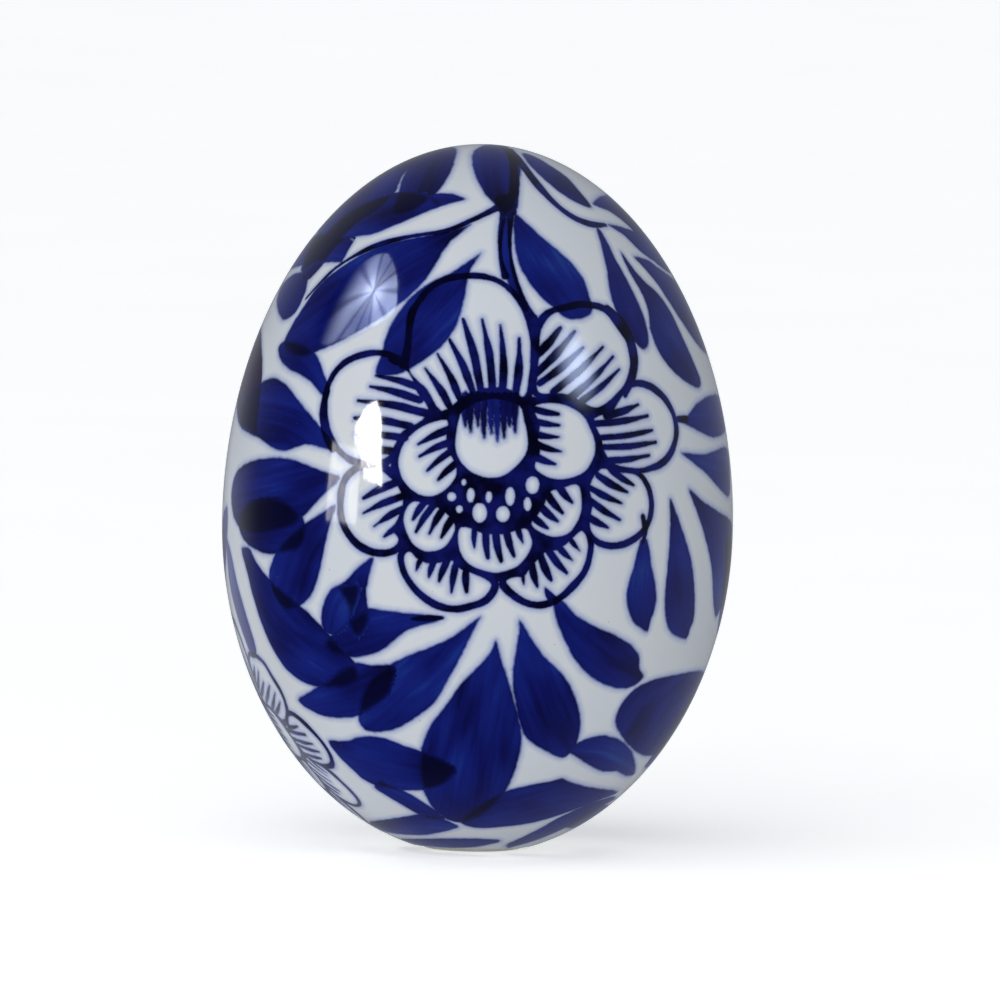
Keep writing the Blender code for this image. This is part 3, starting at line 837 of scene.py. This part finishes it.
# The bare ground is a slightly cool white. Colour bleeds into it for a millimetre beside the paint.
ground_tint = noise(place, 0.06, 3.0)
ground = blend_colours(ground_tint, linear("#E4E7E8"), linear("#DDE2E9"))
beside = math_node("MINIMUM", dark_edge, wash_edge)
bleed = math_node("MULTIPLY_ADD", fade(beside, 0.30, 0.0), 0.35, fade(beside, 1.0, 0.0, 0.0, 0.50))
ground = blend_colours(bleed, ground, linear("#97A6D6"))
# Where the brush was fullest the cobalt fires to a purple black.
fullest = fade(attribute["load"]["Fac"], 0.3, 1.0, 0.0, 0.75)
rich = blend_colours(fullest, cobalt.outputs["Color"], linear("#22092F"))
painted = blend_colours(wash_mask, ground, rich)
double_colour = blend_colours(pools, linear("#030316"), linear("#080930"))
painted = blend_colours(math_node("MULTIPLY", double_mask, 0.92), painted, double_colour)
# A line is thinner and bluer in places, but hardly so where it crosses a wash.
off_wash = fade(wash_mask, 0.2, 0.8, 1.0, 0.12)
thin_paint = math_node("MULTIPLY", fade(noise(place, 0.35, 2.0), 0.3, 0.7), off_wash)
line_colour = blend_colours(thin_paint, linear("#03031A"), linear("#10155F"))
painted = blend_colours(dark_mask, painted, line_colour)
# Tiny iron specks in the clay body.
specks = add(tree, "ShaderNodeTexVoronoi", {"Vector": place, "Scale": 0.28 / MM}).outputs["Distance"]
speck_mask = math_node("MULTIPLY", fade(specks, 0.035, 0.02), 0.45)
painted = blend_colours(speck_mask, painted, linear("#5A5F86"))

# The glaze lies almost flat, with the slow waves that it keeps from running in the kiln.
waves = noise(place, 0.10, 2.0)
orange_peel = noise(place, 0.9, 2.0)
relief = math_node("MULTIPLY_ADD", waves, 1.0, math_node("MULTIPLY", orange_peel, 0.05))
bump = add(tree, "ShaderNodeBump", {"Strength": 0.35, "Distance": 0.05 * MM, "Height": relief})
gloss = math_node("MULTIPLY_ADD", noise(place, 0.25, 3.0), 0.05, 0.035)
shader = add(
    tree, "ShaderNodeBsdfPrincipled",
    {"Base Color": painted, "Roughness": gloss, "IOR": 1.5, "Metallic": 0.0, "Normal": bump.outputs[0]},
)
add(tree, "ShaderNodeOutputMaterial", {"Surface": shader.outputs[0]})

def point_places(mesh):
    """Where a mesh's points are, as an array."""
    found = np.empty(len(mesh.vertices) * 3)
    mesh.vertices.foreach_get("co", found)
    return found.reshape(-1, 3)


def triangle_corners(mesh):
    """The three point numbers of each of a mesh's triangles, as an array."""
    found = np.empty(len(mesh.polygons) * 3, int)
    mesh.polygons.foreach_get("vertices", found)
    return found.reshape(-1, 3)


# The mesh of the glaze, from the skin's rule.
holder = bpy.data.objects.new("skin_holder", bpy.data.meshes.new("skin_holder"))
bpy.context.scene.collection.objects.link(holder)
modifier = holder.modifiers.new("egg_skin", "NODES")
modifier.node_group = skin_tree
for name, (identifier, value) in skin_inputs.items():
    modifier[identifier] = painted_glaze if name == "Glaze" else value
bpy.context.view_layer.update()
made = bpy.data.meshes.new_from_object(holder.evaluated_get(bpy.context.evaluated_depsgraph_get()))
holder.modifiers.clear()
skin_points = on_skin(point_places(made))
skin_faces = triangle_corners(made)
bpy.data.objects.remove(holder)
skin_paint = np.array(paint_at(skin_points))
settled = np.empty(0, int)
for _ in range(REFINEMENTS):
    skin_points, skin_faces, skin_paint, settled = finer(skin_points, skin_faces, skin_paint, settled)

skin = bpy.data.meshes.new("glaze_skin")
skin.from_pydata(skin_points * MM, [], skin_faces)
body = bmesh.new()
body.from_mesh(skin)
edge_height = (GLAZE_EDGE_HEIGHT - GIRTH_HEIGHT) * MM
bmesh.ops.bisect_plane(
    body, geom=body.verts[:] + body.edges[:] + body.faces[:], dist=1e-7,
    plane_co=(0, 0, edge_height), plane_no=(0, 0, -1), clear_outer=True,
)
# The inner side of the glaze, against the porcelain, closes the skin into a solid.
inner = bmesh.ops.create_icosphere(body, subdivisions=INNER_FINENESS, radius=1.0)["verts"]
for vert in inner:
    rise = (UPPER if vert.co.z > 0 else LOWER) - GLAZE_THICKNESS
    side = GIRTH - GLAZE_THICKNESS
    vert.co = Vector((vert.co.x * side, vert.co.y * side, vert.co.z * rise)) * MM
inner_faces = list({face for vert in inner for face in vert.link_faces})
bmesh.ops.reverse_faces(body, faces=inner_faces)
inner_parts = inner + list({edge for vert in inner for edge in vert.link_edges}) + inner_faces
bmesh.ops.bisect_plane(
    body, geom=inner_parts, dist=1e-7,
    plane_co=(0, 0, edge_height), plane_no=(0, 0, -1), clear_outer=True,
)
rims = [edge for edge in body.edges if edge.is_boundary]
bmesh.ops.bridge_loops(body, edges=rims)
bmesh.ops.triangulate(body, faces=[face for face in body.faces if len(face.verts) > 3])
bmesh.ops.recalc_face_normals(body, faces=body.faces[:])
bmesh.ops.translate(body, verts=body.verts[:], vec=(0, 0, GIRTH_HEIGHT * MM))
body.to_mesh(skin)
body.free()
for face in skin.polygons:
    face.use_smooth = True
skin.set_sharp_from_angle(angle=CRISP_EDGE)

points = point_places(skin) / MM - (0, 0, GIRTH_HEIGHT)
dark, wash, double, _ = paint_at(points)
for name, values in (("dark_mm", dark), ("wash_mm", wash), ("double_mm", double)):
    layer = skin.attributes.new(name, "FLOAT", "POINT")
    layer.data.foreach_set("value", values.astype(np.float32))

# Where each face lies along and across the last stroke that covers it. A face just outside every
# stroke goes with the first one near it.
corners = triangle_corners(skin)
centres = points[corners].mean(axis=1)
brush = np.zeros((len(corners), 3, 3), np.float32)
load = np.zeros((len(corners), 3), np.float32)
margin = np.full(len(corners), BRISTLE_MARGIN)
for number, wash_form in enumerate(washes):
    chosen = near(centres, wash_form)
    chosen = chosen[to_form(centres[chosen], wash_form) < margin[chosen]]
    margin[chosen] = 0.0
    right, up, _ = wash_form["seen"]
    places = points[corners[chosen]].reshape(-1, 3)
    flat = np.column_stack([places @ right, places @ up])
    track = wash_form["track"][:, :2]
    distance, share = from_segments(flat, track[:-1], track[1:])
    nearest = distance.argmin(axis=1)
    picked = np.arange(len(flat)), nearest
    runs = np.linalg.norm(np.diff(track, axis=0), axis=1)
    along = np.concatenate([[0], np.cumsum(runs)])[nearest] + share[picked] * runs[nearest]
    heading = np.diff(track, axis=0)[nearest]
    offset = flat - track[nearest]
    side = np.sign(heading[:, 0] * offset[:, 1] - heading[:, 1] * offset[:, 0])
    across = side * distance[picked]
    values = np.stack([along, across, np.full(len(along), STROKE_SHIFT * number)], axis=1)
    brush[chosen] = values.reshape(-1, 3, 3)
    load[chosen] = wash_form["load"]
layer = skin.attributes.new("brush", "FLOAT_VECTOR", "CORNER")
layer.data.foreach_set("vector", brush.reshape(-1))
layer = skin.attributes.new("load", "FLOAT", "CORNER")
layer.data.foreach_set("value", load.reshape(-1))

skin.materials.clear()
skin.materials.append(painted_glaze)
glaze = bpy.data.objects.new("painted_glaze", skin)
bpy.context.scene.collection.objects.link(glaze)
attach(glaze, "root")
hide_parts("glaze_coat")

# ---------------------------------------------------------------------------------------------
# The porcelain body: bisque-fired clay, bare only on the ground foot ring and inside the egg.
# It was cast in one piece, and the base disc was luted into its pour hole with slip.
# ---------------------------------------------------------------------------------------------
bisque, tree = new_material("unglazed_bisque_porcelain")
place = add(tree, "ShaderNodeTexCoord").outputs["Object"]
clay = blend_colours(noise(place, 0.25, 4.0), linear("#D9D5CA"), linear("#EAE7DF"))
dust = math_node("MULTIPLY", fade(noise(place, 2.2, 3.0), 0.62, 0.75), 0.35)
clay = blend_colours(dust, clay, linear("#A89A84"))
grit = noise(place, 6.0, 2.0)
bump = add(tree, "ShaderNodeBump", {"Strength": 0.4, "Distance": 0.03 * MM, "Height": grit})
shader = add(
    tree, "ShaderNodeBsdfPrincipled",
    {"Base Color": clay, "Roughness": 0.72, "IOR": 1.5, "Normal": bump.outputs[0]},
)
add(tree, "ShaderNodeOutputMaterial", {"Surface": shader.outputs[0]})
for name in ("porcelain_shell", "base_disc"):
    piece = bpy.data.objects[name]
    piece.data.materials.clear()
    piece.data.materials.append(bisque)

# ---------------------------------------------------------------------------------------------
# The glaze pooled inside the foot ring: the same clear glaze over plain white, thick enough to
# look a little green-grey, with a few pinholes.
# ---------------------------------------------------------------------------------------------
base_glaze, tree = new_material("clear_glaze_in_foot")
place = add(tree, "ShaderNodeTexCoord").outputs["Object"]
white = blend_colours(noise(place, 0.3, 3.0), linear("#DDE4E1"), linear("#E8ECEA"))
pinholes = add(tree, "ShaderNodeTexVoronoi", {"Vector": place, "Scale": 0.9 / MM}).outputs["Distance"]
white = blend_colours(fade(pinholes, 0.10, 0.04, 0.0, 0.5), white, linear("#8F8A7C"))
bump = add(tree, "ShaderNodeBump", {"Strength": 0.4, "Distance": 0.04 * MM, "Height": noise(place, 0.5, 2.0)})
shader = add(
    tree, "ShaderNodeBsdfPrincipled",
    {"Base Color": white, "Roughness": 0.08, "IOR": 1.5, "Normal": bump.outputs[0]},
)
add(tree, "ShaderNodeOutputMaterial", {"Surface": shader.outputs[0]})
piece = bpy.data.objects["base_glaze"]
piece.data.materials.clear()
piece.data.materials.append(base_glaze)

# ---------------------------------------------------------------------------------------------
# The studio: a pale matte table under soft daylight. What shines in the glaze is a ribbed white
# umbrella at the left, a window below it, and a second umbrella at the right; the room is dim.
# ---------------------------------------------------------------------------------------------
TABLE_HALF = 3.0
table_mesh = bpy.data.meshes.new("table")
table_corners = [(x * TABLE_HALF, y * TABLE_HALF, 0.0) for x, y in ((-1, -1), (1, -1), (1, 1), (-1, 1))]
table_mesh.from_pydata(table_corners, [], [(0, 1, 2, 3)])
table = bpy.data.objects.new("table", table_mesh)
bpy.context.scene.collection.objects.link(table)
paper, tree = new_material("pale_matte_paper")
place = add(tree, "ShaderNodeTexCoord").outputs["Object"]
sheet = blend_colours(noise(place, 0.02, 3.0), linear("#F4F4F2"), linear("#F8F8F7"))
path = add(tree, "ShaderNodeLightPath")
glow = add(tree, "ShaderNodeMix", {0: path.outputs["Is Diffuse Ray"], 2: 0.58, 3: 0.20}).outputs[0]
shader = add(
    tree, "ShaderNodeBsdfPrincipled",
    {"Base Color": sheet, "Roughness": 0.9, "IOR": 1.3, "Emission Color": sheet, "Emission Strength": glow},
)
add(tree, "ShaderNodeOutputMaterial", {"Surface": shader.outputs[0]})
table_mesh.materials.append(paper)
table.visible_glossy = False

EGG_MIDDLE = Vector((0, 0, GIRTH_HEIGHT * MM))
LIGHT_DISTANCE = 1.0


def shines_at(spot):
    """The direction from which light shines at a spot (right, up in mm) of the front's glaze."""
    place = behind(np.array([spot], float), FRONT)[0]
    rise = UPPER if place[2] >= 0 else LOWER
    normal = place / (GIRTH**2, GIRTH**2, rise**2)
    normal /= np.linalg.norm(normal)
    return Vector(2 * (normal @ FRONT[2]) * normal - FRONT[2])


def stand(thing, ray):
    """Puts a lamp or a panel out along a ray, with its face to the egg."""
    bpy.context.scene.collection.objects.link(thing)
    thing.location = EGG_MIDDLE + ray * LIGHT_DISTANCE
    thing.rotation_euler = ray.to_track_quat("Z", "Y").to_euler()
    thing.visible_camera = False


def panel(name, spot, outline):
    """A glowing panel, outlined in metres, that only the glaze reflects. Returns its node tree and shine."""
    mesh = bpy.data.meshes.new(name)
    mesh.from_pydata([(x, y, 0.0) for x, y in outline], [], [range(len(outline))])
    thing = bpy.data.objects.new(name, mesh)
    stand(thing, shines_at(spot))
    thing.visible_diffuse = thing.visible_shadow = False
    glow, tree = new_material(name + "_glow")
    shine = add(tree, "ShaderNodeEmission")
    add(tree, "ShaderNodeOutputMaterial", {"Surface": shine.outputs[0]})
    mesh.materials.append(glow)
    return tree, shine


def outline_from(spot, edge):
    """The outline, in metres, of a panel that faces a spot, from where its edge shines on the glaze."""
    ray = shines_at(spot)
    turn_back = ray.to_track_quat("Z", "Y").to_matrix().transposed()
    outline = []
    for place in smooth(edge, closed=True, steps=2):
        start = Vector(behind(place[None], FRONT)[0] * MM)
        way = shines_at(place)
        met = turn_back @ (start + way * (LIGHT_DISTANCE - start.dot(ray)) / way.dot(ray))
        outline.append((met.x, met.y))
    return outline


def ellipse(wide, tall, steps=40):
    turns = [2 * math.pi * step / steps for step in range(steps)]
    return [(wide / 2 * math.cos(turn), tall / 2 * math.sin(turn)) for turn in turns]


# The left umbrella: ten folds of cloth meet at its hub. It stands half side on, so that its near edge
# is bright and its far side fades.
UMBRELLA_HUB = (-13.3, 29.4)
tree, shine = panel(
    "umbrella_left", UMBRELLA_HUB,
    outline_from(UMBRELLA_HUB, [
        (-12.9, 34.15), (-11.9, 34), (-11.2, 33), (-10.8, 31.8), (-10.6, 30.4), (-10.6, 29), (-10.7, 27.8),
        (-11.1, 26.8), (-12, 25.9), (-13.4, 25), (-15.3, 24), (-17.4, 23.3), (-19.6, 22.5), (-20.8, 23.4),
        (-20.6, 25.4), (-19.4, 28), (-17.6, 30.5), (-16.1, 32), (-14.4, 33.4),
    ]),
)
place = add(tree, "ShaderNodeTexCoord").outputs["Object"]
parts = add(tree, "ShaderNodeSeparateXYZ", {0: place}).outputs
turn = math_node("ARCTAN2", parts["Y"], parts["X"])
reach = add(tree, "ShaderNodeVectorMath", {0: place}, operation="LENGTH").outputs["Value"]
folds = math_node("ABSOLUTE", math_node("SINE", math_node("MULTIPLY_ADD", turn, 5.0, 0.5)))
cloth = fade(folds, 0.0, 0.7, 0.40, 1.0)
inward = fade(parts["X"], -0.36, -0.02)
hub = fade(reach, 0.004, 0.016, 0.3, 1.0)
glow_at_hub = fade(reach, 0.16, 0.0, 0.7, 1.5)
gores = fade(math_node("SINE", math_node("MULTIPLY_ADD", turn, 2.0, 1.3)), -1.0, 1.0, 0.45, 1.2)
level = math_node("MULTIPLY", math_node("MULTIPLY", cloth, inward), math_node("MULTIPLY", hub, glow_at_hub))
tree.links.new(math_node("MULTIPLY", math_node("MULTIPLY", level, gores), 16.0), shine.inputs["Strength"])
shine.inputs["Color"].default_value = linear("#CAD8FB")

# The window, the brightest thing in the room. Its lower left is broken up by what stands outside,
# and a pale wall is beside it.
tree, shine = panel(
    "window", (-13.6, 10.5),
    [(0.0, 0.145), (0.07, 0.09), (0.1, 0.0), (0.125, -0.085), (0.145, -0.14), (0.0, -0.13), (-0.08, -0.085),
     (-0.145, 0.0), (-0.145, 0.042), (-0.07, 0.11)],
)
place = add(tree, "ShaderNodeTexCoord").outputs["Object"]
parts = add(tree, "ShaderNodeSeparateXYZ", {0: place}).outputs
up_right = math_node("MULTIPLY_ADD", parts["Y"], 1.3, parts["X"])
clear_sky = math_node("ADD", noise(place, 0.055, 2.0), up_right)
tree.links.new(fade(clear_sky, 0.36, 0.44, 2.0, 45.0), shine.inputs["Strength"])
tree, shine = panel("window_wall", (-16.9, 5.0), [(-0.14, -0.12), (0.14, -0.12), (0.14, 0.12), (-0.14, 0.12)])
place = add(tree, "ShaderNodeTexCoord").outputs["Object"]
tree.links.new(fade(noise(place, 0.02, 2.0), 0.3, 0.7, 4.5, 7.0), shine.inputs["Strength"])

# The right umbrella, further off and turned, so that its glow is soft on every side.
tree, shine = panel("umbrella_right", (12.0, 20.6), ellipse(0.46, 0.40))
place = add(tree, "ShaderNodeTexCoord").outputs["Object"]
reach = add(tree, "ShaderNodeVectorMath", {0: place}, operation="LENGTH").outputs["Value"]
tree.links.new(fade(reach, 0.21, 0.02, 0.2, 11.0), shine.inputs["Strength"])
shine.inputs["Color"].default_value = linear("#C8DAFF")


def soft_light(name, azimuth, elevation, size, power):
    """A round lamp that lights things but is not itself seen in the glaze."""
    data = bpy.data.lights.new(name, "AREA")
    data.shape, data.size, data.energy = "DISK", size, power
    lamp = bpy.data.objects.new(name, data)
    stand(lamp, Vector(sight(azimuth, elevation)[2]))
    lamp.visible_glossy = False


soft_light("front_fill", -14, 16, 0.9, 2.7)
daylight = bpy.data.lights.new("daylight", "SUN")
daylight.energy, daylight.angle = 1.0, math.radians(70)
lamp = bpy.data.objects.new("daylight", daylight)
stand(lamp, Vector(sight(-30, 60)[2]))
lamp.visible_glossy = False

# The room: pale for the camera, dim and a little blue in front of the egg, paler behind it.
world = bpy.data.worlds.new("studio_room")
bpy.context.scene.world = world
world.use_nodes = True
tree = world.node_tree
tree.nodes.clear()
path = add(tree, "ShaderNodeLightPath")
direction = add(tree, "ShaderNodeTexCoord").outputs["Generated"]
parts = add(tree, "ShaderNodeSeparateXYZ", {0: direction}).outputs
dimness = fade(math_node("MULTIPLY_ADD", parts["X"], 0.45, parts["Y"]), -0.5, 1.0, 0.03, 0.40)
pale_corner = math_node("MULTIPLY", fade(parts["X"], -0.15, -0.5), fade(parts["Y"], 0.4, 0.8))
pale_corner = math_node("MULTIPLY", pale_corner, fade(parts["Z"], 0.15, -0.25, 0.0, 0.6))
dimness = math_node("ADD", dimness, pale_corner)
lit = blend_colours(path.outputs["Is Diffuse Ray"], linear("#C9CDD8"), linear("#DCE6F6"))
level = add(tree, "ShaderNodeMix", {0: path.outputs["Is Diffuse Ray"], 2: dimness, 3: 0.25}).outputs[0]
room = add(tree, "ShaderNodeBackground", {"Color": lit, "Strength": level})
seen_room = add(tree, "ShaderNodeBackground", {"Color": linear("#F6F6F5"), "Strength": 1.0})
by_camera = {0: path.outputs["Is Camera Ray"], 1: room.outputs[0], 2: seen_room.outputs[0]}
both = add(tree, "ShaderNodeMixShader", by_camera)
add(tree, "ShaderNodeOutputWorld", {"Surface": both.outputs[0]})

# The camera stands far back with a long lens, a little above the egg, which leans in the frame.
CAMERA_DISTANCE = 2.5
FRAME_WIDTH = 127.6 * MM
LEAN = 0.94
SENSOR_WIDTH = 36.0
# The frame's middle, right of and above the middle of the girth.
AIM_RIGHT = 2.82 * MM
AIM_UP = 3.06 * MM
camera_data = bpy.data.cameras.new("camera")
camera_data.sensor_width = SENSOR_WIDTH
camera_data.lens = SENSOR_WIDTH * CAMERA_DISTANCE / FRAME_WIDTH
camera_data.clip_end = 50.0
camera = bpy.data.objects.new("camera", camera_data)
bpy.context.scene.collection.objects.link(camera)
right, up, towards = (Vector(axis) for axis in FRONT)
aim = EGG_MIDDLE + right * AIM_RIGHT + up * AIM_UP
facing = Matrix((right, up, towards)).transposed()
camera.matrix_world = (
    Matrix.Translation(aim + towards * CAMERA_DISTANCE)
    @ (facing @ Matrix.Rotation(math.radians(LEAN), 3, "Z")).to_4x4()
)
bpy.context.scene.camera = camera
bpy.context.scene.view_settings.view_transform = "Standard"
